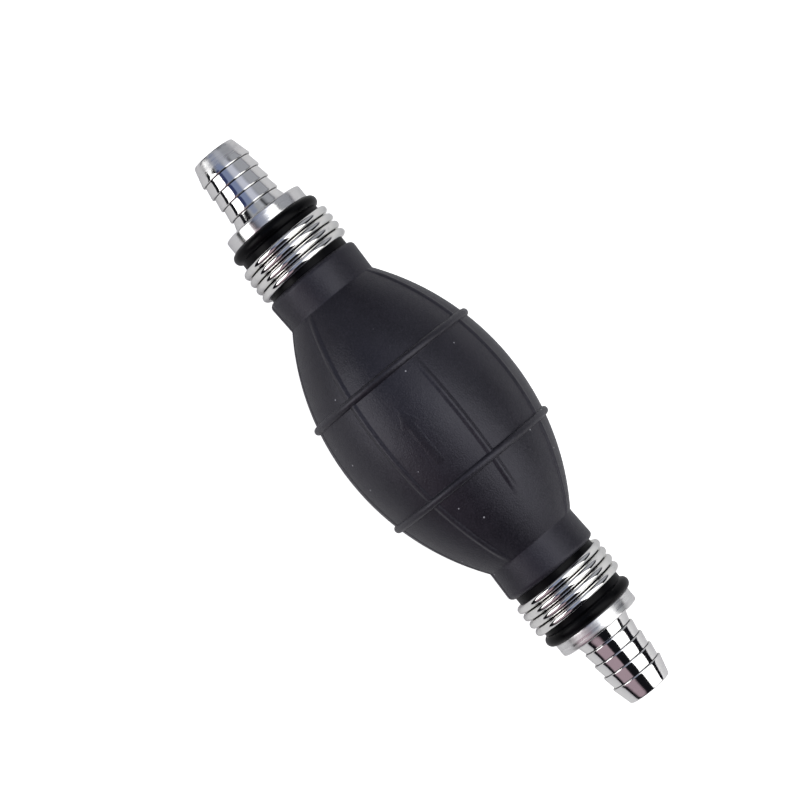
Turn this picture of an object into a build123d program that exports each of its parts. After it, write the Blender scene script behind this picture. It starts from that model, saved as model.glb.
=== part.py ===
"""Siphon bulb pump: a rubber squeeze bulb with a hose barb, a coil clamp and a check valve at each end.

The pump lies along X and the liquid leaves at +X. +Z is up and the origin is the centre of the bulb.
Lengths are in millimetres. Each end's outline is written once, as (distance from the centre, radius).
"""

from build123d import *
from math import asin, cos, radians, sin, sqrt, tan
import os

# Rubber bulb
BELLY_RADIUS = 22.5
BELLY_ARC = 60.2
WALL = 3.0
COLLAR_START = 34.8
COLLAR_END = 42.3
COLLAR_START_RADIUS = 11.5
COLLAR_RADIUS = 11.75
COLLAR_EDGE = 1.1
NECK_RADIUS = 10.5
MOUTH_PLACE = 36.2
LIP_MIDDLE = 54.65
LIP_ROUND = 1.45
LIP_RADIUS = 11.55
RING_PLACE = 14.0
RING_RADIUS = 0.95
RIB_RADIUS = 0.75
RIB_HEIGHT = 0.42
FULL_RIB_REACH = 34.0
SHORT_RIB_START = -25.5
SHORT_RIB_END = 15.5
RIB_SPACING = 47.0
MIDDLE_RIB_ANGLE = 15.4

# Squeezed areas of the bulb wall: ovals seen along Y
PRESS_LENGTH = 42.0
PRESS_HEIGHT = 25.0
PRESS_GAP = 0.3

# Hose barbs
HALF_LENGTH = 76.7
FLANGE_INNER = 56.1
FLANGE_OUTER = 59.3
FLANGE_RADIUS = 10.25
FLANGE_EDGE = 0.6
FLANGE_CHAMFER = 0.2
THROAT_ROOT_RADIUS = 7.5
THROAT_RADIUS = 6.9
RIDGE_RADIUS = 6.7
VALLEY_RADIUS = 6.12
FIRST_RIDGE = 62.0
RIDGE_PITCH = 3.25
RIDGE_COUNT = 4
TIP_RADIUS = 5.47
TIP_EDGE = 0.5
BORE_RADIUS = 3.75
BORE_CHAMFER = 0.3
SHANK_END = 37.2
SHANK_RADIUS = 8.0
SHANK_CHAMFER = 0.4
SHANK_RIDGE = 0.35
SHANK_RIDGE_LENGTH = 2.6
SHANK_RIDGES = (46.0, 49.3, 52.6)
POCKET_RADIUS = 6.4
POCKET_FLOOR = 52.5

# Coil clamps
CLAMP_WIRE = 2.0
CLAMP_RADIUS = 10.98
CLAMP_PITCH = 2.1
CLAMP_TURNS = 4
CLAMP_START = 43.65

# Check valves: places run with the flow, from the upstream face of the seat
VALVE_LENGTH = 13.0
SEAT_THICKNESS = 2.5
SEAT_BORE = 3.4
SEAT_LIP = 0.5
SEAT_LIP_WIDTH = 0.6
SEAL_GAP = 0.05
SEAL_THICKNESS = 1.0
SEAL_RADIUS = 4.6
NOSE_RADIUS = 2.0
NOSE_HEAD_RADIUS = 2.5
NOSE_HEAD = 0.6
DISC_RADIUS = 4.8
DISC_THICKNESS = 1.2
SPRING_BOSS_RADIUS = 1.9
SPRING_BOSS = 0.6
STEM_RADIUS = 1.2
STEM_END = 11.8
CAGE_WALL = 0.8
SPIDER_PLACE = 9.8
SPIDER_THICKNESS = 1.6
HUB_RADIUS = 2.9
HUB_CLEARANCE = 0.06
SPOKE_WIDTH = 1.4
SPOKE_COUNT = 3
SPOKE_ROOT = 0.4
SPRING_WIRE = 0.4
SPRING_RADIUS = 2.35
SPRING_TURNS = 3.5
SPRING_CLEARANCE = 0.03

# Retaining rings
GROOVE_DEPTH = 0.6
GROOVE_WIDTH = 1.0
RETAINER_THICKNESS = 0.9
RETAINER_CLEARANCE = 0.05
RETAINER_BAND = 1.2
RETAINER_OPENING = 40.0
LUG_RADIUS = 1.0
LUG_HOLE = 0.45
LUG_ANGLE = 8.0
LUG_INSET = 0.2

# Worked out from the above
ARC_CENTRE = BELLY_RADIUS - BELLY_ARC
INNER_RADIUS = BELLY_RADIUS - WALL
BELLY_END_RADIUS = ARC_CENTRE + sqrt(BELLY_ARC**2 - COLLAR_START**2)
LIP_CENTRE_RADIUS = LIP_RADIUS - LIP_ROUND
LIP_START = LIP_MIDDLE - sqrt(LIP_ROUND**2 - (NECK_RADIUS - LIP_CENTRE_RADIUS) ** 2)
DISC_PLACE = SEAT_THICKNESS + SEAT_LIP + SEAL_GAP + SEAL_THICKNESS
VALVE_INNER_END = POCKET_FLOOR - VALVE_LENGTH


def belly_point(angle, height=0.0):
    """Point of the belly's outline at an angle of its arc from the middle, height above the surface."""
    reach = BELLY_ARC + height
    return (reach * sin(angle), ARC_CENTRE + reach * cos(angle))


def inner_point(place):
    """Point of the chamber's outline at a distance from the middle."""
    drop = INNER_RADIUS - SHANK_RADIUS
    arc = (MOUTH_PLACE**2 + drop**2) / (2 * drop)
    return (place, INNER_RADIUS - arc + sqrt(arc**2 - place**2))


def turned(outline):
    """Solid of revolution about X from a closed list of edges in the XY plane."""
    return revolve(make_face(outline), Axis.X)


def bulb_half_outline():
    """Edges of one half of the bulb's section, from the middle of the belly round to the middle of the chamber."""
    ring = asin(RING_PLACE / BELLY_ARC)
    ring_half = 2 * asin(RING_RADIUS / (2 * BELLY_ARC))
    end = asin(COLLAR_START / BELLY_ARC)
    ring_in = belly_point(ring - ring_half)
    ring_out = belly_point(ring + ring_half)
    belly_end = (COLLAR_START, BELLY_END_RADIUS)
    edge_start = (COLLAR_END - COLLAR_EDGE, COLLAR_RADIUS)
    edge_end = (COLLAR_END, COLLAR_RADIUS - COLLAR_EDGE)
    lip_start = (LIP_START, NECK_RADIUS)
    lip_end = (LIP_MIDDLE + LIP_ROUND, LIP_CENTRE_RADIUS)
    mouth = (MOUTH_PLACE, SHANK_RADIUS)
    return [
        ThreePointArc(belly_point(0), belly_point((ring - ring_half) / 2), ring_in),
        ThreePointArc(ring_in, belly_point(ring, RING_RADIUS), ring_out),
        ThreePointArc(ring_out, belly_point((ring + ring_half + end) / 2), belly_end),
        Polyline(belly_end, (COLLAR_START, COLLAR_START_RADIUS), edge_start),
        TangentArc(edge_start, edge_end, tangent=(1, 0)),
        Polyline(edge_end, (COLLAR_END, NECK_RADIUS), lip_start),
        ThreePointArc(lip_start, (LIP_MIDDLE, LIP_RADIUS), lip_end),
        Polyline(lip_end, (FLANGE_INNER, SHANK_RADIUS), mouth),
        ThreePointArc(mouth, inner_point(MOUTH_PLACE / 2), (0, INNER_RADIUS)),
    ]


def rib(angle, start, stop):
    """Low round rib along the belly at an angle about X, sinking into the surface at both ends."""
    def on_belly(place, height):
        along, radius = belly_point(asin(place / BELLY_ARC), height)
        return (along, 0, radius)

    middle = (start + stop) / 2
    path = ThreePointArc(
        on_belly(start, -RIB_RADIUS),
        on_belly(middle, RIB_HEIGHT - RIB_RADIUS),
        on_belly(stop, -RIB_RADIUS),
    )
    section = Plane(path @ 0, z_dir=path % 0) * Circle(RIB_RADIUS)
    return Rot(X=angle) * sweep(section, path=path)


def bulb_moulding(barbs):
    """The whole rubber moulding: belly, chamber, necks and lips, with its rings and ribs."""
    half = bulb_half_outline()
    other_half = [edge.mirror(Plane.YZ) for edge in half]
    moulding = turned(Curve() + half + other_half)
    for side in (0, 180):
        middle = MIDDLE_RIB_ANGLE + side
        moulding += rib(middle, SHORT_RIB_START, SHORT_RIB_END)
        moulding += rib(middle + RIB_SPACING, -FULL_RIB_REACH, FULL_RIB_REACH)
        moulding += rib(middle - RIB_SPACING, -FULL_RIB_REACH, FULL_RIB_REACH)
    for barb in barbs:
        moulding -= barb
    return moulding


def press_prism(side, gap):
    """Oval prism along Y that marks out the squeezed area on one side, gap smaller all round."""
    oval = Plane.XZ * Ellipse(PRESS_LENGTH / 2 - gap, PRESS_HEIGHT / 2 - gap)
    return Pos(Y=side * 2 * BELLY_RADIUS) * extrude(oval, amount=side * 2 * BELLY_RADIUS, dir=(0, -1, 0))


def ridge_points(first, pitch, count):
    """Saw-tooth ridges: each stands up on the flange's side and slopes down towards the tip."""
    points = []
    for index in range(count):
        place = first + index * pitch
        points += [(place, VALLEY_RADIUS), (place, RIDGE_RADIUS)]
    return points


def hose_barb():
    """Turned fitting of the +X end: shank with a valve pocket, flange, ridged tail and through bore."""
    tip = HALF_LENGTH - TIP_EDGE
    tip_end = (HALF_LENGTH, TIP_RADIUS - TIP_EDGE)
    shank = [
        (SHANK_END, POCKET_RADIUS),
        (SHANK_END, SHANK_RADIUS - SHANK_CHAMFER),
        (SHANK_END + SHANK_CHAMFER, SHANK_RADIUS),
    ]
    for place in SHANK_RIDGES:
        shank += [
            (place - SHANK_RIDGE_LENGTH, SHANK_RADIUS),
            (place, SHANK_RADIUS + SHANK_RIDGE),
            (place, SHANK_RADIUS),
        ]
    flange = [
        (FLANGE_INNER, SHANK_RADIUS),
        (FLANGE_INNER, FLANGE_RADIUS - FLANGE_CHAMFER),
        (FLANGE_INNER + FLANGE_CHAMFER, FLANGE_RADIUS),
        (FLANGE_OUTER - FLANGE_EDGE, FLANGE_RADIUS),
    ]
    flange_edge = (FLANGE_OUTER, FLANGE_RADIUS - FLANGE_EDGE)
    throat_root = (FLANGE_OUTER, THROAT_ROOT_RADIUS)
    throat = (FLANGE_OUTER + THROAT_ROOT_RADIUS - THROAT_RADIUS, THROAT_RADIUS)
    tail = [throat] + ridge_points(FIRST_RIDGE, RIDGE_PITCH, RIDGE_COUNT) + [(tip, TIP_RADIUS)]
    groove_end = VALVE_INNER_END
    groove_start = groove_end - GROOVE_WIDTH
    inside = [
        tip_end,
        (HALF_LENGTH, BORE_RADIUS + BORE_CHAMFER),
        (HALF_LENGTH - BORE_CHAMFER, BORE_RADIUS),
        (POCKET_FLOOR, BORE_RADIUS),
        (POCKET_FLOOR, POCKET_RADIUS),
        (groove_end, POCKET_RADIUS),
        (groove_end, POCKET_RADIUS + GROOVE_DEPTH),
        (groove_start, POCKET_RADIUS + GROOVE_DEPTH),
        (groove_start, POCKET_RADIUS),
        (SHANK_END, POCKET_RADIUS),
    ]
    outline = [
        Polyline(*shank, *flange),
        TangentArc(flange[-1], flange_edge, tangent=(1, 0)),
        Line(flange_edge, throat_root),
        TangentArc(throat, throat_root, tangent=(-1, 0)),
        Polyline(*tail),
        TangentArc((tip, TIP_RADIUS), tip_end, tangent=(1, 0)),
        Polyline(*inside),
    ]
    return turned(Curve() + outline)


def coil(radius, wire, pitch, turns):
    """Helical spring of round wire about Z, starting at the XY plane."""
    path = Helix(pitch, pitch * turns, radius)
    section = Plane(path @ 0, z_dir=path % 0) * Circle(wire / 2)
    return sweep(section, path=path, is_frenet=True)


def coil_clamp():
    """Spring-wire clamp round the rubber neck of the +X end, with its wire ends underneath."""
    underneath = Plane(origin=(CLAMP_START, 0, 0), x_dir=(0, 0, -1), z_dir=(1, 0, 0))
    return underneath * coil(CLAMP_RADIUS, CLAMP_WIRE, CLAMP_PITCH, CLAMP_TURNS)


def tube(start, end, outer, inner=0.0):
    """Round piece along Z from start to end, with a bore if inner is given."""
    section = Circle(outer)
    if inner:
        section -= Circle(inner)
    return Pos(Z=start) * extrude(section, amount=end - start)


def valve_seat():
    """Seat ring with a raised sealing lip round its bore."""
    plate = tube(0, SEAT_THICKNESS, POCKET_RADIUS, SEAT_BORE)
    return plate + tube(0, SEAT_THICKNESS + SEAT_LIP, SEAT_BORE + SEAT_LIP_WIDTH, SEAT_BORE)


def valve_cage():
    """Sleeve that spaces the seat, with a three-legged spider that guides the poppet's stem."""
    inner = POCKET_RADIUS - CAGE_WALL
    spider_end = SPIDER_PLACE + SPIDER_THICKNESS
    cage = tube(SEAT_THICKNESS, VALVE_LENGTH, POCKET_RADIUS, inner)
    spoke = Pos(HUB_RADIUS - SPOKE_ROOT, 0, SPIDER_PLACE) * Box(
        inner - HUB_RADIUS + 2 * SPOKE_ROOT,
        SPOKE_WIDTH,
        SPIDER_THICKNESS,
        align=(Align.MIN, Align.CENTER, Align.MIN),
    )
    for index in range(SPOKE_COUNT):
        cage += Rot(Z=index * 360 / SPOKE_COUNT) * spoke
    cage += tube(SPIDER_PLACE, spider_end, HUB_RADIUS)
    return cage - tube(0, VALVE_LENGTH, STEM_RADIUS + HUB_CLEARANCE)


def poppet():
    """Disc with a headed nose that holds the seal, a spring boss and a guide stem."""
    nose_head_start = DISC_PLACE - SEAL_THICKNESS - NOSE_HEAD
    back = DISC_PLACE + DISC_THICKNESS
    body = tube(nose_head_start, DISC_PLACE - SEAL_THICKNESS, NOSE_HEAD_RADIUS)
    body += tube(nose_head_start, back, NOSE_RADIUS)
    body += tube(DISC_PLACE, back, DISC_RADIUS)
    body += tube(DISC_PLACE, back + SPRING_BOSS, SPRING_BOSS_RADIUS)
    body += tube(DISC_PLACE, STEM_END, STEM_RADIUS)
    return body


def poppet_seal():
    """Flat rubber washer held under the head of the poppet's nose."""
    return tube(DISC_PLACE - SEAL_THICKNESS, DISC_PLACE, SEAL_RADIUS, NOSE_RADIUS)


def valve_spring():
    """Light compression spring between the poppet's disc and the spider."""
    start = DISC_PLACE + DISC_THICKNESS + SPRING_WIRE / 2 + SPRING_CLEARANCE
    end = SPIDER_PLACE - SPRING_WIRE / 2 - SPRING_CLEARANCE
    pitch = (end - start) / SPRING_TURNS
    return Pos(Z=start) * coil(SPRING_RADIUS, SPRING_WIRE, pitch, SPRING_TURNS)


def retaining_ring():
    """Internal snap ring with two pierced lugs, lying on the XY plane."""
    outer = POCKET_RADIUS + GROOVE_DEPTH - RETAINER_CLEARANCE
    inner = outer - RETAINER_BAND
    reach = 2 * outer
    half_width = reach * tan(radians(RETAINER_OPENING / 2))
    ring = Circle(outer) - Circle(inner)
    ring -= make_face(Polyline((0, 0), (reach, half_width), (reach, -half_width), close=True))
    for side in (1, -1):
        lug = Rot(Z=side * (RETAINER_OPENING / 2 + LUG_ANGLE)) * Pos(X=inner - LUG_INSET)
        ring += lug * Circle(LUG_RADIUS)
        ring -= lug * Circle(LUG_HOLE)
    return extrude(ring, amount=RETAINER_THICKNESS)


def at(place):
    """Plane across the pump at a place on X, facing along the flow."""
    return Plane(origin=(place, 0, 0), x_dir=(0, 0, 1), z_dir=(1, 0, 0))


def end_fittings(name, side):
    """Everything of one end: the fitting, its clamp, its snap ring and its check valve."""
    flip = Rot(Z=0) if side > 0 else Rot(Z=180)
    valve_start = VALVE_INNER_END if side > 0 else -POCKET_FLOOR
    ring_middle = side * (VALVE_INNER_END - GROOVE_WIDTH / 2)
    ring_start = ring_middle - RETAINER_THICKNESS / 2
    return {
        f"{name}_barb": flip * hose_barb(),
        f"{name}_coil_clamp": flip * coil_clamp(),
        f"{name}_retaining_ring": at(ring_start) * retaining_ring(),
        f"{name}_valve_seat": at(valve_start) * valve_seat(),
        f"{name}_valve_cage": at(valve_start) * valve_cage(),
        f"{name}_poppet": at(valve_start) * poppet(),
        f"{name}_poppet_seal": at(valve_start) * poppet_seal(),
        f"{name}_valve_spring": at(valve_start) * valve_spring(),
    }


pieces = end_fittings("inlet", -1) | end_fittings("outlet", 1)
rubber = bulb_moulding([pieces["inlet_barb"], pieces["outlet_barb"]])
pieces["thumb_wall"] = rubber & press_prism(-1, PRESS_GAP)
pieces["finger_wall"] = rubber & press_prism(1, PRESS_GAP)
pieces["bulb"] = rubber - press_prism(-1, 0) - press_prism(1, 0)

os.makedirs("parts", exist_ok=True)
for name, piece in pieces.items():
    export_step(piece, f"parts/{name}.step")
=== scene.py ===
"""Looks of the siphon bulb pump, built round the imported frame.

The frame's own axes: +X along the pump with the flow, +Z up. Outlines are (place along X, radius) in
millimetres; pieces, lights and camera are placed in metres.
"""

import math

import bpy
import numpy as np
from mathutils import Matrix, Quaternion, Vector


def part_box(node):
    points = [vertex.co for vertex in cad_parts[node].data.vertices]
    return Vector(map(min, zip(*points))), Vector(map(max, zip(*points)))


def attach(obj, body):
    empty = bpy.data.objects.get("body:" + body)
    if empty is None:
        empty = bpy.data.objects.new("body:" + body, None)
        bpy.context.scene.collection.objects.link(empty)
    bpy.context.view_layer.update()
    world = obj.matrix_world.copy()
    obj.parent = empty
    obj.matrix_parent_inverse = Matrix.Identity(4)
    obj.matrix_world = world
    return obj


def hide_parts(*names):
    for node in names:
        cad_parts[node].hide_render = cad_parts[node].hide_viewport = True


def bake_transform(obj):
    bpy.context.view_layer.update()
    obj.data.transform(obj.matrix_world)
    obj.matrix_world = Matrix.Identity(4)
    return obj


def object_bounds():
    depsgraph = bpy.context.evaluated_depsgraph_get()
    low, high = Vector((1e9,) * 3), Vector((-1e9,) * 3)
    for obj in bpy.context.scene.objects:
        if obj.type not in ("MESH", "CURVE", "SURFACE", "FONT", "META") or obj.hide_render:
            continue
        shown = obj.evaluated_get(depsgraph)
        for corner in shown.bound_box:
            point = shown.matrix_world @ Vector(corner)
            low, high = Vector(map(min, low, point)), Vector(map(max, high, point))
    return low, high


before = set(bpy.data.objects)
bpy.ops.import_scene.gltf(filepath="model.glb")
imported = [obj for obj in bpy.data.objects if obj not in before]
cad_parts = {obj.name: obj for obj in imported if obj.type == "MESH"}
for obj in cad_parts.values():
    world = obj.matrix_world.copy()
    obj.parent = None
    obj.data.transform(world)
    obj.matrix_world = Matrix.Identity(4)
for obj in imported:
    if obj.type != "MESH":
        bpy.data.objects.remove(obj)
cad_low, cad_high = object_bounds()
MM = 0.001

# Bulb, in millimetres
BELLY_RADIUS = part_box("bulb")[1].z / MM
BELLY_ARC = 60.2
WALL = 3.0
RING_PLACE = 14.0
RING_RADIUS = 0.95
COLLAR_START = 34.8
COLLAR_END = 42.3
COLLAR_START_RADIUS = 11.5
COLLAR_RADIUS = 11.75
COLLAR_EDGE = 1.1
NECK_RADIUS = 10.5
LIP_ROUND = 1.45
LIP_RADIUS = 11.55
LIP_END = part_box("bulb")[1].x / MM
MOUTH_PLACE = 36.2
BORE_IN_RUBBER = 8.4
RIB_HALF_WIDTH = 0.95
RIB_HEIGHT = 0.36
RIB_ROUNDNESS = 1.6
RIB_FADE = 6.0
RIB_ANGLE = 15.4
RIB_SPACING = 47.0
SHORT_RIB = (-25.0, 16.5)
SHORT_RIB_FADE = 15.0
RIGHT_RIB_REACH = 37.5
LEFT_RIB_REACH = 36.0
PARTING_ANGLES = (105.0, 285.0)
PARTING_HALF_WIDTH = 0.3
PARTING_HEIGHT = 0.13
ARROW_ANGLE = -10.3
ARROW_TIP = 6.4
ARROW_SHOULDER = 2.1
ARROW_TAIL = -8.3
ARROW_HEAD_HALF = 2.2
ARROW_SHAFT_HALF = 1.0
ARROW_OVERLAP = 0.5
ARROW_HEIGHT = 0.05
ARROW_EDGE = 0.5
BELLY, COLLAR, NECK, CHAMBER = range(4)

# Rows of the bulb's mesh, in millimetres, and how many there are on each stretch
ROW_STEP = 0.4
CLOSE_ROW = 0.15
BESIDE_EDGE = 0.12
CLEAR_OF_RING = 0.35
MIDDLE_ROWS = 46
RING_ROWS = 17
OUTER_ROWS = 44
COLLAR_EDGE_ROWS = 10
LIP_ROWS = 26
CHAMBER_ROWS = 30
BORE_STEP = 1.5

# Columns of the bulb's mesh, in degrees: everywhere, and (reach, step) beside what is moulded on it
COLUMN_STEP = 2.0
SMALLEST_GAP = 0.15
RIB_COLUMNS = (4.0, 0.4)
PARTING_COLUMNS = (1.5, 0.25)
ARROW_COLUMNS = (7.0, 0.4)

# Hose barbs, in millimetres
SHANK_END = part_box("outlet_barb")[0].x / MM
HALF_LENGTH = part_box("outlet_barb")[1].x / MM
SHANK_RADIUS = 8.0
SHANK_RIDGE = 0.35
SHANK_RIDGE_LENGTH = 2.6
SHANK_RIDGES = (46.0, 49.3, 52.6)
FLANGE_OUTER = 59.3
FLANGE_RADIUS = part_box("outlet_barb")[1].z / MM
THROAT_RADIUS = 7.0
RIDGE_RADIUS = 6.7
VALLEY_RADIUS = 6.12
FIRST_RIDGE = 62.0
RIDGE_PITCH = 3.25
RIDGE_COUNT = 4
TIP_RADIUS = 5.37
BORE_RADIUS = 3.75
POCKET_RADIUS = 6.4
POCKET_FLOOR = 52.5
GROOVE_START = 38.5
GROOVE_END = 39.5
GROOVE_RADIUS = 7.0
FINE_EDGE = 0.05
EDGE = 0.1
SHANK_EDGE = 0.4
SHANK_RIDGE_EDGE = 0.04
FLANGE_CHAMFER = 0.2
FLANGE_EDGE = 0.6
THROAT_FILLET = 0.45
VALLEY_FILLET = 0.08
RIDGE_EDGE = 0.3
TIP_EDGE = 0.45
BORE_EDGE = 0.25
DULL_TIP = 4.0
DULL_TIP_FADE = 1.5
BARB_COLUMNS = 192
OUTLINE_STEP = 0.6
ROUNDING_POINTS = 6
BARB_SHARP = math.radians(50)

# Coil clamps and valve springs, in millimetres
CLAMP_WIRE = 1.9
CLAMP_RADIUS = 11.03
CLAMP_START = 43.65
CLAMP_PITCH = 2.1
CLAMP_TURNS = 4
CLAMP_WOBBLE = 0.03
SPRING_WIRE = 0.4
SPRING_RADIUS = 2.35
SPRING_TURNS = 3.5
STEPS_PER_TURN = 120
WIRE_SIDES = 24
WOBBLES_PER_TURN = 3.1
WIRE_SHARP = math.radians(60)

# Rounding of a wire's end: place along the wire and thickness there, both in wire radii
WIRE_END = ((0.0, 0.0), (0.0, 0.8), (0.06, 0.94), (0.16, 1.0))

# Camera and studio, in metres and degrees
PUMP_SLANT = math.radians(50.69)
CAMERA_HEIGHT = 0.59
CAMERA_AIM = Vector((0.00795, 0.00245, 0.0))
VIEW_WIDTH = 0.1778
SENSOR = 36.0
NEAREST, FARTHEST = 0.01, 20
FLOOR_SIZE = 4.0
TABLE_DROP = 0.0002
GROUND_GLOW = 0.88

# Softboxes: heading, elevation, distance, width, height, brightness and roll about their own axis
RIGHT_SOFTBOX = (231.2, 48.6, 0.5, 0.89, 0.41, 1.68, 57.4)
LEFT_SOFTBOX = (70, 30, 0.8, 0.56, 0.46, 2.6, 0.0)

# Reflector cards and one dark gap in the dark room: (heading, elevation), full and fading angle, colour
ROOM_DARK = (0.006, 0.006, 0.008, 1)
ROOM_CARDS = (
    ((0, 90), 16, 30, (0.34, 0.36, 0.43, 1)),
    ((113, 38), 22, 30, (0.36, 0.27, 0.31, 1)),
    ((4, 42), 24, 33, (0.34, 0.35, 0.37, 1)),
    ((290, 22), 20, 32, (0.33, 0.34, 0.37, 1)),
    ((318, 60), 8, 22, (0.54, 0.56, 0.65, 1)),
    ((30, 60), 13, 22, (0.19, 0.23, 0.36, 1)),
    ((46, 50), 6, 10, (0.03, 0.04, 0.11, 1)),
    ((165, 64), 13, 18, ROOM_DARK),
)


# ---------------------------------------------------------------- outlines

def straight(start, end, step):
    """Points from start up to, but not including, end, at most step apart."""
    start, end = np.array(start, float), np.array(end, float)
    count = max(1, math.ceil(np.linalg.norm(end - start) / step))
    return [start + (end - start) * i / count for i in range(count)]


def arc(centre, radius, first, last, count):
    """Points of an arc, angles in degrees, both ends included."""
    angles = np.radians(np.linspace(first, last, count))
    return [np.array(centre) + radius * np.array((math.cos(a), math.sin(a))) for a in angles]


def rounded(corners, step):
    """Closed outline through corners of (place, radius, rounding), each corner rounded off."""
    points = []
    count = len(corners)
    for index, (place, radius, rounding) in enumerate(corners):
        here = np.array((place, radius))
        before = np.array(corners[index - 1][:2])
        after = np.array(corners[(index + 1) % count][:2])
        back = (before - here) / np.linalg.norm(before - here)
        forth = (after - here) / np.linalg.norm(after - here)
        half_angle = math.acos(np.clip(back @ forth, -1, 1)) / 2
        cut = rounding / math.tan(half_angle)
        bend = [here]
        if rounding:
            start, end = here + back * cut, here + forth * cut
            blend = np.linspace(0, 1, ROUNDING_POINTS)[:, None]
            bend = list((1 - blend) ** 2 * start + 2 * blend * (1 - blend) * here + blend**2 * end)
        if points:
            points += straight(points[-1], bend[0], step)[1:]
        points += bend
    points += straight(points[-1], points[0], step)[1:]
    return np.array(points)


# ---------------------------------------------------------------- meshes

def grid_normals(points):
    """Normals of a grid of points that closes on itself both ways."""
    along = np.roll(points, -1, 0)
    across = np.roll(points, -1, 1)
    corner = np.roll(along, -1, 1)
    face = np.cross(corner - points, across - along)
    total = face + np.roll(face, 1, 0) + np.roll(face, 1, 1) + np.roll(np.roll(face, 1, 0), 1, 1)
    return total / np.maximum(np.linalg.norm(total, axis=2, keepdims=True), 1e-12)


def grid_faces(rows, columns, close_rows, close_columns):
    """Quads of a grid, as indices row * columns + column."""
    row = np.arange(rows if close_rows else rows - 1)[:, None]
    column = np.arange(columns if close_columns else columns - 1)[None, :]
    next_row, next_column = (row + 1) % rows, (column + 1) % columns
    quads = [row * columns + column, next_row * columns + column,
             next_row * columns + next_column, row * columns + next_column]
    return np.stack([np.broadcast_to(q, (row.size, column.size)) for q in quads], axis=-1).reshape(-1, 4)


def new_object(name, vertices, faces, materials):
    """Smooth mesh object from arrays in metres."""
    mesh = bpy.data.meshes.new(name)
    mesh.from_pydata(vertices.tolist(), [], [list(f) for f in faces])
    mesh.polygons.foreach_set("use_smooth", np.ones(len(mesh.polygons), bool))
    piece = bpy.data.objects.new(name, mesh)
    bpy.context.scene.collection.objects.link(piece)
    for material in materials:
        mesh.materials.append(material)
    mesh.update()
    return piece


def turned_piece(name, outline, material):
    """Closed outline turned about X, with its sharp corners left crisp."""
    angle = np.linspace(0, 2 * math.pi, BARB_COLUMNS, endpoint=False)
    place, radius = outline[:, :1] * MM, outline[:, 1:] * MM
    points = np.stack([
        np.broadcast_to(place, (len(outline), BARB_COLUMNS)),
        -radius * np.sin(angle),
        radius * np.cos(angle),
    ], axis=-1)
    faces = grid_faces(len(outline), BARB_COLUMNS, True, True)
    piece = new_object(name, points.reshape(-1, 3), faces, [material])
    piece.data.set_sharp_from_angle(angle=BARB_SHARP)
    return piece


def coil_piece(name, radius, wire, turns, start, end, phase, material, wobble=0.0):
    """Round wire wound right-handed about X from start to end, with closed and slightly rounded ends."""
    steps = int(turns * STEPS_PER_TURN)
    t = np.linspace(0, 1, steps + 1)
    turn = phase + 2 * math.pi * turns * t
    place = start + (end - start) * t + wobble * np.sin(WOBBLES_PER_TURN * turn) * np.sin(math.pi * t)
    centre = np.stack([place, radius * np.cos(turn), radius * np.sin(turn)], axis=1)
    tangent = np.gradient(centre, axis=0)
    tangent /= np.linalg.norm(tangent, axis=1, keepdims=True)
    outward = np.stack([np.zeros_like(turn), np.cos(turn), np.sin(turn)], axis=1)
    side = np.cross(tangent, outward)
    thickness = np.full(steps + 1, wire / 2)
    head = [(centre[0] + tangent[0] * a * wire / 2, b * wire / 2) for a, b in WIRE_END]
    tail = [(centre[-1] - tangent[-1] * a * wire / 2, b * wire / 2) for a, b in reversed(WIRE_END)]
    centre = np.vstack([[c for c, _ in head], centre[1:-1], [c for c, _ in tail]])
    thickness = np.concatenate([[w for _, w in head], thickness[1:-1], [w for _, w in tail]])
    ends = len(WIRE_END)
    outward = np.vstack([np.repeat(outward[:1], ends, 0), outward[1:-1], np.repeat(outward[-1:], ends, 0)])
    side = np.vstack([np.repeat(side[:1], ends, 0), side[1:-1], np.repeat(side[-1:], ends, 0)])
    around = np.linspace(0, 2 * math.pi, WIRE_SIDES, endpoint=False)
    points = centre[:, None] + thickness[:, None, None] * (
        np.cos(around)[None, :, None] * outward[:, None] + np.sin(around)[None, :, None] * side[:, None]
    )
    faces = grid_faces(len(centre), WIRE_SIDES, False, True)
    piece = new_object(name, points.reshape(-1, 3) * MM, faces, [material])
    piece.data.set_sharp_from_angle(angle=WIRE_SHARP)
    return piece


# ---------------------------------------------------------------- materials

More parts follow.
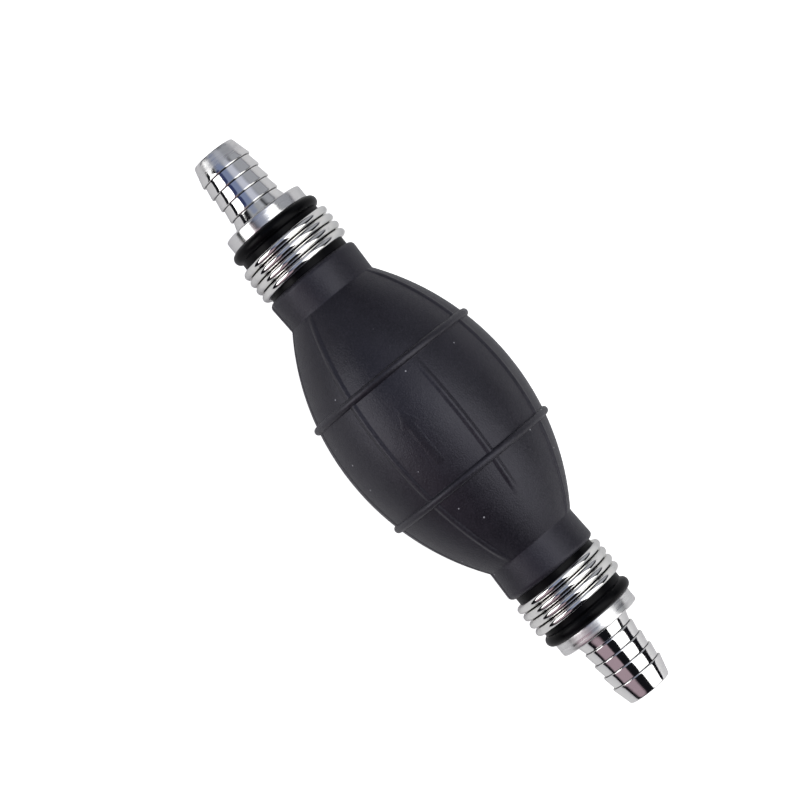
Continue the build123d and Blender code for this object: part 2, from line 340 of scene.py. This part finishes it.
class Shader:
    """Short way to make a Principled material and wire procedural textures into it."""

    def __init__(self, name, **fixed):
        self.material = bpy.data.materials.new(name)
        self.material.use_nodes = True
        self.tree = self.material.node_tree
        self.principled = self.tree.nodes["Principled BSDF"]
        for socket, value in fixed.items():
            self.principled.inputs[socket.replace("_", " ")].default_value = value
        self.place = self.add("ShaderNodeTexCoord").outputs["Object"]

    def add(self, kind, inputs=None, **settings):
        """New node; inputs are sockets to link or values to set, by name or number."""
        node = self.tree.nodes.new(kind)
        for key, value in settings.items():
            setattr(node, key, value)
        for key, value in (inputs or {}).items():
            if isinstance(value, bpy.types.NodeSocket):
                self.tree.links.new(value, node.inputs[key])
            else:
                node.inputs[key].default_value = value
        return node

    def noise(self, scale, detail, roughness, place=None):
        """Noise in object coordinates, or in the coordinates given."""
        inputs = {"Vector": place or self.place, "Scale": scale, "Detail": detail, "Roughness": roughness}
        return self.add("ShaderNodeTexNoise", inputs).outputs["Fac"]

    def math(self, operation, *values):
        """Result of a Math node."""
        return self.add("ShaderNodeMath", dict(enumerate(values)), operation=operation).outputs[0]

    def spread(self, value, low, high, to_low=0.0, to_high=1.0):
        """Value taken from one range to another, and kept within it."""
        inputs = {"Value": value, "From Min": low, "From Max": high, "To Min": to_low, "To Max": to_high}
        return self.add("ShaderNodeMapRange", inputs, clamp=True).outputs["Result"]

    def mix(self, factor, first, second):
        """Colour between two others."""
        node = self.add("ShaderNodeMix", data_type="RGBA")
        for socket, value in ((node.inputs[0], factor), (node.inputs[6], first), (node.inputs[7], second)):
            if isinstance(value, bpy.types.NodeSocket):
                self.tree.links.new(value, socket)
            else:
                socket.default_value = value
        return node.outputs[2]

    def attribute(self, name):
        """Value that the mesh carries at each point."""
        return self.add("ShaderNodeAttribute", attribute_name=name).outputs["Fac"]

    def bump(self, height, distance, strength, under=None):
        """Bumped normal, on top of another one where that is given."""
        inputs = {"Height": height, "Distance": distance, "Strength": strength}
        if under:
            inputs["Normal"] = under
        return self.add("ShaderNodeBump", inputs).outputs["Normal"]

    def rings(self, stretch):
        """Coordinates that are the same all round the axis, so a texture on them runs in turned rings."""
        parts = self.add("ShaderNodeSeparateXYZ", {0: self.place})
        radius = self.math("SQRT", self.math(
            "ADD",
            self.math("POWER", parts.outputs["Y"], 2.0),
            self.math("POWER", parts.outputs["Z"], 2.0),
        ))
        angle = self.math("ARCTAN2", parts.outputs["Y"], parts.outputs["Z"])
        return self.add("ShaderNodeCombineXYZ", {
            "X": parts.outputs["X"],
            "Y": radius,
            "Z": self.math("MULTIPLY", angle, stretch),
        }).outputs[0]

    def set(self, **links):
        """Wire values into the material's sockets and give the material back."""
        for socket, value in links.items():
            self.tree.links.new(value, self.principled.inputs[socket.replace("_", " ")])
        return self.material


def belly_rubber():
    """Matt black moulded rubber: fine grain, a faint bluish bloom, lint specks, ribs rubbed smoother."""
    s = Shader("belly_rubber", Specular_IOR_Level=0.60, Specular_Tint=(0.90, 0.89, 1.0, 1),
               Sheen_Weight=0.04, Sheen_Roughness=0.4)
    bloom = s.spread(s.noise(70.0, 4.0, 0.6), 0.38, 0.72)
    cloud = s.spread(s.noise(260.0, 3.0, 0.55), 0.35, 0.7)
    grain = s.noise(2600.0, 3.0, 0.6)
    rubbed = s.attribute("relief")
    arrow = s.attribute("arrow")
    cells = s.add("ShaderNodeTexVoronoi", {"Vector": s.place, "Scale": 600.0, "Randomness": 1.0})
    luck = s.add("ShaderNodeSeparateColor", {0: cells.outputs["Color"]}).outputs[0]
    chosen = s.spread(luck, 0.955, 0.965)
    near = s.spread(cells.outputs["Distance"], 0.08, 0.14, 1.0, 0.0)
    lint = s.math("MULTIPLY", chosen, near)
    black, bluish = (0.0050, 0.0046, 0.0082, 1), (0.0100, 0.0090, 0.0150, 1)
    layers = (
        (s.math("MULTIPLY", cloud, 0.25), (0.018, 0.016, 0.023, 1)),
        (s.spread(grain, 0.45, 0.75, 0.0, 0.6), (0.028, 0.025, 0.036, 1)),
        (s.math("MULTIPLY", rubbed, 0.15), (0.036, 0.034, 0.040, 1)),
        (s.math("MULTIPLY", arrow, 0.5), (0.0040, 0.0036, 0.0060, 1)),
        (s.math("MULTIPLY", lint, 0.9), (0.50, 0.50, 0.54, 1)),
    )
    base = s.mix(bloom, black, bluish)
    for amount, colour in layers:
        base = s.mix(amount, base, colour)
    rough = s.spread(bloom, 0.0, 1.0, 0.40, 0.49)
    rough = s.math("ADD", rough, s.spread(grain, 0.3, 0.7, -0.06, 0.06))
    rough = s.math("ADD", rough, s.math("MULTIPLY", rubbed, -0.03))
    rough = s.math("ADD", rough, s.math("MULTIPLY", arrow, -0.05))
    skin = s.bump(grain, 0.0001, 0.7)
    uneven = s.bump(s.noise(160.0, 2.0, 0.5), 0.00022, 0.5, skin)
    return s.set(Base_Color=base, Roughness=rough, Normal=uneven)


def neck_rubber():
    """The same rubber stretched over the fitting: blacker and smoother, with faint moulding rings."""
    s = Shader("neck_rubber", Specular_IOR_Level=0.1)
    smear = s.spread(s.noise(220.0, 3.0, 0.55), 0.35, 0.7)
    base = s.mix(smear, (0.0010, 0.0010, 0.0014, 1), (0.0028, 0.0028, 0.0038, 1))
    rough = s.spread(smear, 0.0, 1.0, 0.27, 0.42)
    turned = s.noise(900.0, 2.0, 0.5, s.rings(0.0006))
    fine = s.bump(s.noise(2400.0, 2.0, 0.5), 0.00003, 0.5)
    return s.set(Base_Color=base, Roughness=rough, Normal=s.bump(turned, 0.00008, 0.5, fine))


def ridge_foot_shade(s, along, radius):
    """Painted shade mask: 1 in the corners at the foot of the hose ridges, where the step shades the
    valley, 0 elsewhere.
    """
    from_ridge = s.math("SUBTRACT", s.math("ABSOLUTE", along), FIRST_RIDGE * MM)
    corner = s.spread(s.math("PINGPONG", from_ridge, RIDGE_PITCH / 2 * MM), 0.00008, 0.0002, 1.0, 0.0)
    low = s.spread(radius, (VALLEY_RADIUS + 0.15) * MM, (VALLEY_RADIUS + 0.4) * MM, 1.0, 0.0)
    half_span = RIDGE_COUNT * RIDGE_PITCH / 2 * MM
    off_middle = s.math("ABSOLUTE", s.math("SUBTRACT", from_ridge, half_span - RIDGE_PITCH / 2 * MM))
    ridged = s.math("LESS_THAN", off_middle, half_span)
    return s.math("MULTIPLY", s.math("MULTIPLY", corner, low), ridged)


def turned_aluminium():
    """Bright turned aluminium: tool rings, brushed flanges, duller at the inlet, and a dull outlet tip."""
    s = Shader("turned_aluminium", Metallic=1.0)
    rings = s.rings(0.0004)
    fine = s.noise(9000.0, 2.0, 0.6, rings)
    coarse = s.noise(1500.0, 3.0, 0.6, rings)
    haze = s.spread(s.noise(190.0, 4.0, 0.6), 0.4, 0.75)
    parts = s.add("ShaderNodeSeparateXYZ", {0: rings})
    along, radius = parts.outputs["X"], parts.outputs["Y"]
    flange = s.spread(radius, (THROAT_RADIUS + 1.2) * MM, (FLANGE_RADIUS - 1.25) * MM)
    tip_start = HALF_LENGTH - DULL_TIP
    tip = s.spread(along, tip_start * MM, (tip_start + DULL_TIP_FADE) * MM)
    marked = s.math("MAXIMUM", flange, tip)
    base = s.mix(haze, (0.915, 0.91, 0.90, 1), (0.86, 0.858, 0.85, 1))
    base = s.mix(s.spread(coarse, 0.62, 0.78, 0.0, 0.35), base, (0.66, 0.665, 0.68, 1))
    base = s.mix(s.math("MULTIPLY", s.math("MULTIPLY", marked, fine), 0.35), base, (0.55, 0.55, 0.58, 1))
    # Painted shade: near-black lines in the corners at the foot of the hose ridges, standing in for the
    # shade there.
    base = s.mix(ridge_foot_shade(s, along, radius), base, (0.012, 0.012, 0.014, 1))
    polish = s.math("ADD", s.spread(fine, 0.3, 0.7, 0.03, 0.08), s.math("MULTIPLY", haze, 0.05))
    brushed = s.math("MULTIPLY", flange, s.spread(coarse, 0.35, 0.65, 0.07, 0.17))
    duller_inlet = s.spread(along, -0.01, 0.01, 2.2, 1.0)
    rough = s.math("ADD", polish, s.math("MULTIPLY", brushed, duller_inlet))
    rough = s.math("ADD", rough, s.math("MULTIPLY", tip, s.spread(coarse, 0.35, 0.65, 0.16, 0.36)))
    chatter = s.bump(s.noise(420.0, 1.0, 0.4, s.rings(0.006)), 0.00006, 0.3)
    tooled = s.bump(fine, 0.000008, 0.5, chatter)
    streaked = s.bump(coarse, 0.00003, s.spread(marked, 0, 1, 0.3, 1), tooled)
    return s.set(Base_Color=base, Roughness=rough, Normal=streaked)


def plated_wire():
    """Bright plated spring wire with faint drawing marks and a few dull spots."""
    s = Shader("plated_wire", Metallic=1.0)
    marks = s.noise(5200.0, 2.0, 0.5, s.rings(0.003))
    dull = s.spread(s.noise(420.0, 4.0, 0.6), 0.52, 0.8)
    base = s.mix(dull, (0.93, 0.925, 0.905, 1), (0.70, 0.70, 0.69, 1))
    rough = s.math("ADD", s.spread(marks, 0.3, 0.7, 0.045, 0.09), s.math("MULTIPLY", dull, 0.12))
    return s.set(Base_Color=base, Roughness=rough, Normal=s.bump(marks, 0.000008, 0.4))


def spring_steel():
    """Drawn stainless steel of the hidden springs and snap rings."""
    s = Shader("spring_steel", Metallic=1.0)
    marks = s.noise(6000.0, 3.0, 0.6)
    base = s.mix(marks, (0.56, 0.56, 0.57, 1), (0.70, 0.70, 0.71, 1))
    return s.set(Base_Color=base, Roughness=s.spread(marks, 0.3, 0.7, 0.22, 0.38),
                 Normal=s.bump(marks, 0.00001, 0.4))


def moulded_plastic(name, light, dark):
    """Injection-moulded acetal with a slight flow pattern."""
    s = Shader(name, Specular_IOR_Level=0.45)
    flow = s.spread(s.noise(300.0, 3.0, 0.6), 0.35, 0.7)
    grain = s.noise(3000.0, 2.0, 0.5)
    return s.set(Base_Color=s.mix(flow, light, dark), Roughness=s.spread(flow, 0.0, 1.0, 0.36, 0.5),
                 Normal=s.bump(grain, 0.00002, 0.4))


def seal_rubber():
    """Smooth nitrile washer."""
    s = Shader("seal_rubber", Specular_IOR_Level=0.45)
    cloud = s.noise(500.0, 3.0, 0.5)
    return s.set(Base_Color=s.mix(cloud, (0.012, 0.012, 0.013, 1), (0.03, 0.03, 0.032, 1)),
                 Roughness=s.spread(cloud, 0.3, 0.7, 0.4, 0.55), Normal=s.bump(cloud, 0.00003, 0.3))


def white_ground():
    """Over-bright white ground on which only a deep contact shadow shows."""
    s = Shader("white_ground", Specular_IOR_Level=0.1, Emission_Color=(1, 1, 1, 1),
               Emission_Strength=GROUND_GLOW)
    fibre = s.noise(60.0, 4.0, 0.6)
    return s.set(Base_Color=s.mix(fibre, (0.90, 0.90, 0.90, 1), (0.93, 0.93, 0.93, 1)),
                 Roughness=s.spread(fibre, 0.3, 0.7, 0.85, 0.95))


def table_paper():
    """Matt white paper."""
    s = Shader("table_paper", Specular_IOR_Level=0.1)
    fibre = s.noise(60.0, 4.0, 0.6)
    return s.set(Base_Color=s.mix(fibre, (0.88, 0.88, 0.86, 1), (0.92, 0.92, 0.90, 1)),
                 Roughness=s.spread(fibre, 0.3, 0.7, 0.85, 0.95))


# ---------------------------------------------------------------- bulb

def smooth_step(value):
    """0 below 0, 1 above 1 and smooth between."""
    value = np.clip(value, 0, 1)
    return value * value * (3 - 2 * value)


def belly_stretch():
    """Rows of the belly from its middle to the collar: arc length from the middle and ring height."""
    ring = BELLY_ARC * math.asin(RING_PLACE / BELLY_ARC)
    end = BELLY_ARC * math.asin(COLLAR_START / BELLY_ARC)
    foot = ring - RING_RADIUS
    far_foot = ring + RING_RADIUS
    rows = [(s, 0.0) for s in np.linspace(0, foot - CLEAR_OF_RING, MIDDLE_ROWS)]
    rows += [(foot - BESIDE_EDGE, 0.0)]
    for t in np.radians(np.linspace(-90, 90, RING_ROWS)):
        rows.append((ring + RING_RADIUS * math.sin(t), RING_RADIUS * math.cos(t)))
    rows += [(far_foot + BESIDE_EDGE, 0.0)]
    rows += [(s, 0.0) for s in np.linspace(far_foot + CLEAR_OF_RING, end - ROW_STEP, OUTER_ROWS)]
    rows += [(end - CLOSE_ROW, 0.0)]
    return rows


def outer_half():
    """Rows of one half of the bulb's outside: place, radius, normal (two values), ring height and zone."""
    centre = BELLY_RADIUS - BELLY_ARC
    rows = []
    for s, ring in belly_stretch():
        angle = s / BELLY_ARC
        lean, rise = math.sin(angle), math.cos(angle)
        rows.append((BELLY_ARC * lean, centre + BELLY_ARC * rise, lean, rise, ring, BELLY))
    edge_centre = (COLLAR_END - COLLAR_EDGE, COLLAR_RADIUS - COLLAR_EDGE)
    level_end = (COLLAR_START + ROW_STEP, COLLAR_START_RADIUS)
    collar = straight((COLLAR_START, COLLAR_START_RADIUS), level_end, CLOSE_ROW)
    collar += straight(level_end, (edge_centre[0], COLLAR_RADIUS), ROW_STEP)
    collar += arc(edge_centre, COLLAR_EDGE, 90, 0, COLLAR_EDGE_ROWS)
    rows += [(x, r, 0.0, 1.0, 0.0, COLLAR) for x, r in collar]
    lip_centre = (LIP_END - LIP_ROUND, LIP_RADIUS - LIP_ROUND)
    lip_foot = 180 - math.degrees(math.asin((NECK_RADIUS - lip_centre[1]) / LIP_ROUND))
    lip = arc(lip_centre, LIP_ROUND, lip_foot, 0, LIP_ROWS)
    before_lip = lip[0] - (BESIDE_EDGE, 0)
    neck_start = (COLLAR_END + CLOSE_ROW, NECK_RADIUS)
    neck = straight((COLLAR_END + 0.03, NECK_RADIUS + 0.04), neck_start, 0.06)
    neck += straight(neck_start, before_lip, ROW_STEP)
    neck += [before_lip] + lip + [np.array((LIP_END, LIP_RADIUS - LIP_ROUND - 0.1))]
    rows += [(x, r, 0.0, 1.0, 0.0, NECK) for x, r in neck]
    return np.array(rows)


def inner_half():
    """Rows of one half of the chamber and neck bore, from the end face to the middle."""
    drop = BELLY_RADIUS - WALL - BORE_IN_RUBBER
    radius = (MOUTH_PLACE**2 + drop**2) / (2 * drop)
    places = np.linspace(MOUTH_PLACE, 0, CHAMBER_ROWS)
    points = straight((LIP_END, BORE_IN_RUBBER), (MOUTH_PLACE, BORE_IN_RUBBER), BORE_STEP)
    points += [(x, BELLY_RADIUS - WALL - radius + math.sqrt(radius**2 - x**2)) for x in places]
    return np.array([(x, r, 0.0, 1.0, 0.0, CHAMBER) for x, r in points])


def mirrored(rows):
    """The same rows on the other half, in reverse order."""
    other = rows[::-1].copy()
    other[:, 0] *= -1
    other[:, 2] *= -1
    return other


def bulb_angles():
    """Angles of the bulb's columns, in radians: closer together at ribs, parting lines and flow arrow."""
    spans = [(angle, *PARTING_COLUMNS) for angle in PARTING_ANGLES] + [(ARROW_ANGLE, *ARROW_COLUMNS)]
    for side in (0, 180):
        spans += [(RIB_ANGLE + rib + side, *RIB_COLUMNS) for rib in (-RIB_SPACING, 0, RIB_SPACING)]
    angles = set(np.arange(0, 360, COLUMN_STEP))
    for middle, reach, step in spans:
        angles |= set((middle + np.arange(-reach, reach + 0.01, step)) % 360)
    kept = [0.0]
    for angle in sorted(angles)[1:]:
        if angle == 180.0 or min(abs(angle - k) for k in kept[-3:] + [180.0, 360.0]) > SMALLEST_GAP:
            kept.append(float(angle))
    return np.radians(kept)


def rib_shape(across, along, start, stop, stop_fade):
    """Height of a rounded rib that sinks into the surface towards both ends."""
    section = np.clip(1 - (across / RIB_HALF_WIDTH) ** 2, 0, 1) ** RIB_ROUNDNESS
    fade = smooth_step((along - start) / RIB_FADE) * smooth_step((stop - along) / stop_fade)
    return RIB_HEIGHT * section * fade


def inside_distance(along, across):
    """Distance in from the flow arrow's edge, negative outside it."""
    slope = ARROW_HEAD_HALF / (ARROW_TIP - ARROW_SHOULDER)
    lean = math.hypot(1, slope)
    side = np.abs(across)
    head = np.minimum(along - ARROW_SHOULDER, (slope * (ARROW_TIP - along) - side) / lean)
    length = np.minimum(along - ARROW_TAIL, ARROW_SHOULDER + ARROW_OVERLAP - along)
    shaft = np.minimum(length, ARROW_SHAFT_HALF - side)
    return np.maximum(head, shaft)


def distance_round(radius, angles, middle):
    """Distance round the skin from a middle line given in degrees."""
    return radius * ((angles - math.radians(middle) + math.pi) % (2 * math.pi) - math.pi)


def arrow_mask(place, radius, zone, angles):
    """1 on the flow arrow, 0 off it."""
    inside = inside_distance(place, distance_round(radius, angles, ARROW_ANGLE))
    return smooth_step(inside / ARROW_EDGE + 0.5) * (zone == BELLY)


def bulb_relief(place, radius, zone, ring, angles):
    """Height of everything moulded on the bulb's skin, for each row and column."""
    belly = zone == BELLY
    ribs = [
        (0.0, *SHORT_RIB, SHORT_RIB_FADE),
        (RIB_SPACING, -RIGHT_RIB_REACH, RIGHT_RIB_REACH, RIB_FADE),
        (-RIB_SPACING, -LEFT_RIB_REACH, LEFT_RIB_REACH, RIB_FADE),
    ]
    height = np.broadcast_to(ring, (len(place), len(angles))).copy()
    for side in (0, 180):
        for angle, start, stop, fade in ribs:
            beside = distance_round(radius, angles, RIB_ANGLE + side + angle)
            height = np.maximum(height, rib_shape(beside, place, start, stop, fade) * belly)
    for angle in PARTING_ANGLES:
        beside = np.abs(distance_round(radius, angles, angle))
        flash = PARTING_HEIGHT * np.clip(1 - beside / PARTING_HALF_WIDTH, 0, 1)
        height = np.where(zone <= COLLAR, np.maximum(height, flash), height)
    return np.maximum(height, ARROW_HEIGHT * arrow_mask(place, radius, zone, angles))


def bulb_halves(materials):
    """The bulb as two halves that meet at Y = 0."""
    outside, inside = outer_half(), inner_half()
    rows = np.vstack([mirrored(outside)[:-1], outside, inside, mirrored(inside)[1:]])
    angles = bulb_angles()
    place, radius, lean, rise, ring, zone = [rows[:, i:i + 1] for i in range(6)]
    height = bulb_relief(place, radius, zone, ring, angles)
    along = place + lean * height
    out = radius + rise * height
    points = np.stack([along, -out * np.sin(angles), out * np.cos(angles)], axis=-1) * MM
    normals = grid_normals(points)
    if normals[len(outside), 0, 2] < 0:
        normals = -normals
    marks = {
        "relief": np.clip(height / RIB_HEIGHT, 0, 1),
        "arrow": arrow_mask(place, radius, zone, angles),
    }
    half = int(np.argmin(abs(angles - math.pi)))
    sides = {
        "bulb_thumb_half": np.arange(0, half + 1),
        "bulb_finger_half": np.append(np.arange(half, len(angles)), 0),
    }
    pieces = {}
    for name, columns in sides.items():
        faces = grid_faces(len(rows), len(columns), True, False)[:, ::-1]
        piece = new_object(name, points[:, columns].reshape(-1, 3), faces, materials)
        face_zone = np.repeat(zone.ravel(), len(columns) - 1)
        piece.data.polygons.foreach_set("material_index", (face_zone == NECK).astype(np.int32))
        for mark, values in marks.items():
            layer = piece.data.attributes.new(mark, "FLOAT", "POINT")
            layer.data.foreach_set("value", values[:, columns].ravel().astype(np.float32))
        piece.data.normals_split_custom_set_from_vertices(normals[:, columns].reshape(-1, 3).tolist())
        pieces[name] = piece
    return pieces


# ---------------------------------------------------------------- fittings

def barb_corners():
    """Corners of the +X fitting as (place, radius, rounding): along the outside, back through the bore."""
    corners = [(SHANK_END, POCKET_RADIUS, EDGE), (SHANK_END, SHANK_RADIUS, SHANK_EDGE)]
    for place in SHANK_RIDGES:
        corners += [
            (place - SHANK_RIDGE_LENGTH, SHANK_RADIUS, 0.0),
            (place, SHANK_RADIUS + SHANK_RIDGE, SHANK_RIDGE_EDGE),
            (place, SHANK_RADIUS, FINE_EDGE),
        ]
    corners += [
        (LIP_END, SHANK_RADIUS, EDGE),
        (LIP_END, FLANGE_RADIUS, FLANGE_CHAMFER),
        (FLANGE_OUTER, FLANGE_RADIUS, FLANGE_EDGE),
        (FLANGE_OUTER, THROAT_RADIUS, THROAT_FILLET),
    ]
    for index in range(RIDGE_COUNT):
        place = FIRST_RIDGE + index * RIDGE_PITCH
        corners += [(place, VALLEY_RADIUS, VALLEY_FILLET), (place, RIDGE_RADIUS, RIDGE_EDGE)]
    return corners + [
        (HALF_LENGTH, TIP_RADIUS, TIP_EDGE),
        (HALF_LENGTH, BORE_RADIUS, BORE_EDGE),
        (POCKET_FLOOR, BORE_RADIUS, EDGE),
        (POCKET_FLOOR, POCKET_RADIUS, EDGE),
        (GROOVE_END, POCKET_RADIUS, FINE_EDGE),
        (GROOVE_END, GROOVE_RADIUS, FINE_EDGE),
        (GROOVE_START, GROOVE_RADIUS, FINE_EDGE),
        (GROOVE_START, POCKET_RADIUS, FINE_EDGE),
    ]


def end_pieces(name, side, materials):
    """Fitting, coil clamp and valve spring of one end, each replacing its CAD node."""
    outline = rounded(barb_corners(), OUTLINE_STEP)
    if side < 0:
        outline = outline[::-1] * (-1, 1)
    barb = turned_piece(f"{name}_hose_barb", outline, materials["aluminium"])
    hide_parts(f"{name}_barb")
    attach(barb, "pump")

    underneath = -math.pi / 2
    end = CLAMP_START + CLAMP_TURNS * CLAMP_PITCH
    start, stop = (CLAMP_START, end) if side > 0 else (-end, -CLAMP_START)
    clamp = coil_piece(f"{name}_wire_clamp", CLAMP_RADIUS, CLAMP_WIRE, CLAMP_TURNS, start, stop,
                       underneath, materials["wire"], CLAMP_WOBBLE)
    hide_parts(f"{name}_coil_clamp")
    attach(clamp, "pump")

    low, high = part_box(f"{name}_valve_spring")
    spring = coil_piece(f"{name}_closing_spring", SPRING_RADIUS, SPRING_WIRE, SPRING_TURNS,
                        low.x / MM + SPRING_WIRE / 2, high.x / MM - SPRING_WIRE / 2,
                        math.pi / 2, materials["steel"])
    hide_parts(f"{name}_valve_spring")
    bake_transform(spring)


def dress_nodes(materials):
    """Materials of the CAD nodes that stay."""
    looks = {
        "retaining_ring": materials["steel"],
        "valve_seat": materials["acetal"],
        "valve_cage": materials["acetal"],
        "poppet": materials["red"],
        "poppet_seal": materials["seal"],
    }
    for name in ("inlet", "outlet"):
        for kind, material in looks.items():
            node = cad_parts[f"{name}_{kind}"]
            node.data.materials.clear()
            node.data.materials.append(material)


# ---------------------------------------------------------------- studio

def make_camera():
    """Camera straight above the pump, turned so that the outlet points to the upper left."""
    right = Vector((-math.cos(PUMP_SLANT), -math.sin(PUMP_SLANT), 0))
    spot = Vector((0, 0, CAMERA_HEIGHT))
    back = (spot - CAMERA_AIM).normalized()
    right = (right - back * right.dot(back)).normalized()
    up = back.cross(right)
    data = bpy.data.cameras.new("camera")
    data.sensor_width = SENSOR
    data.lens = SENSOR * CAMERA_HEIGHT / VIEW_WIDTH
    data.clip_start, data.clip_end = NEAREST, FARTHEST
    camera = bpy.data.objects.new("camera", data)
    camera.matrix_world = Matrix((
        (right.x, up.x, back.x, spot.x),
        (right.y, up.y, back.y, spot.y),
        (right.z, up.z, back.z, spot.z),
        (0, 0, 0, 1),
    ))
    bpy.context.scene.collection.objects.link(camera)
    bpy.context.scene.camera = camera


def towards(heading, elevation):
    """Direction at a heading from +X towards +Y and an elevation above the table, both in degrees."""
    heading, elevation = math.radians(heading), math.radians(elevation)
    level = math.cos(elevation)
    return Vector((math.cos(heading) * level, math.sin(heading) * level, math.sin(elevation)))


def softbox(name, heading, elevation, distance, width, height, brightness, roll):
    """Rectangular light that faces the pump; its brightness is what a mirror would show of it."""
    direction = towards(heading, elevation)
    data = bpy.data.lights.new(name, "AREA")
    data.shape = "RECTANGLE"
    data.size, data.size_y = width, height
    data.energy = brightness * math.pi * width * height
    light = bpy.data.objects.new(name, data)
    light.location = direction * distance
    light.rotation_mode = "QUATERNION"
    turn = Quaternion((0, 0, 1), math.radians(roll))
    light.rotation_quaternion = direction.to_track_quat("Z", "Y") @ turn
    light.visible_camera = False
    bpy.context.scene.collection.objects.link(light)


def make_room():
    """Dark room with reflector cards; the camera alone sees plain white in its place."""
    world = bpy.data.worlds.new("room")
    bpy.context.scene.world = world
    world.use_nodes = True
    nodes, links = world.node_tree.nodes, world.node_tree.links
    direction = nodes.new("ShaderNodeTexCoord").outputs["Generated"]

    def patch(aim, inner, outer):
        """1 within the inner angle of a direction, fading to 0 at the outer angle."""
        dot = nodes.new("ShaderNodeVectorMath")
        dot.operation = "DOT_PRODUCT"
        links.new(direction, dot.inputs[0])
        dot.inputs[1].default_value = aim
        fade = nodes.new("ShaderNodeMapRange")
        links.new(dot.outputs["Value"], fade.inputs["Value"])
        fade.inputs["From Min"].default_value = math.cos(math.radians(outer))
        fade.inputs["From Max"].default_value = math.cos(math.radians(inner))
        return fade.outputs["Result"]

    def blend(factor, first, second):
        """Colour between two others."""
        mix = nodes.new("ShaderNodeMix")
        mix.data_type = "RGBA"
        for socket, value in ((mix.inputs[0], factor), (mix.inputs[6], first), (mix.inputs[7], second)):
            if isinstance(value, bpy.types.NodeSocket):
                links.new(value, socket)
            else:
                socket.default_value = value
        return mix.outputs[2]

    room = ROOM_DARK
    for aim, inner, outer, colour in ROOM_CARDS:
        room = blend(patch(towards(*aim), inner, outer), room, colour)
    plain = nodes.new("ShaderNodeLightPath").outputs["Is Camera Ray"]
    links.new(blend(plain, room, (1, 1, 1, 1)), nodes["Background"].inputs["Color"])


def make_floor():
    """White ground for the camera, and the table that the pump is lit and mirrored by, just under it."""
    half = FLOOR_SIZE / 2
    corners = np.array([(-half, -half, 0), (half, -half, 0), (half, half, 0), (-half, half, 0)], float)
    for name, drop, material in (("ground", 0.0, white_ground()), ("table", TABLE_DROP, table_paper())):
        corners[:, 2] = cad_low.z - drop
        plane = new_object(name, corners, [(0, 1, 2, 3)], [material])
        if name == "table":
            plane.visible_camera = False
        else:
            plane.visible_diffuse = False
            plane.visible_glossy = False
            plane.visible_transmission = False
            plane.visible_shadow = False


def make_studio():
    """Strip softbox at the picture's right, a lower one at its left, a dark room and a white table."""
    softbox("right_softbox", *RIGHT_SOFTBOX)
    softbox("left_softbox", *LEFT_SOFTBOX)
    make_room()
    make_floor()
    bpy.context.scene.view_settings.view_transform = "Standard"


# ---------------------------------------------------------------- assembly

make_camera()
make_studio()
materials = {
    "aluminium": turned_aluminium(),
    "wire": plated_wire(),
    "steel": spring_steel(),
    "acetal": moulded_plastic("natural_acetal", (0.80, 0.79, 0.75, 1), (0.72, 0.71, 0.66, 1)),
    "red": moulded_plastic("red_acetal", (0.55, 0.05, 0.03, 1), (0.45, 0.035, 0.02, 1)),
    "seal": seal_rubber(),
}
halves = bulb_halves([belly_rubber(), neck_rubber()])
for name, wall, side in (("bulb_thumb_half", "thumb_wall", -1), ("bulb_finger_half", "finger_wall", 1)):
    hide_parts("bulb", wall)
    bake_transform(halves[name])
for name, side in (("inlet", -1), ("outlet", 1)):
    end_pieces(name, side, materials)
dress_nodes(materials)
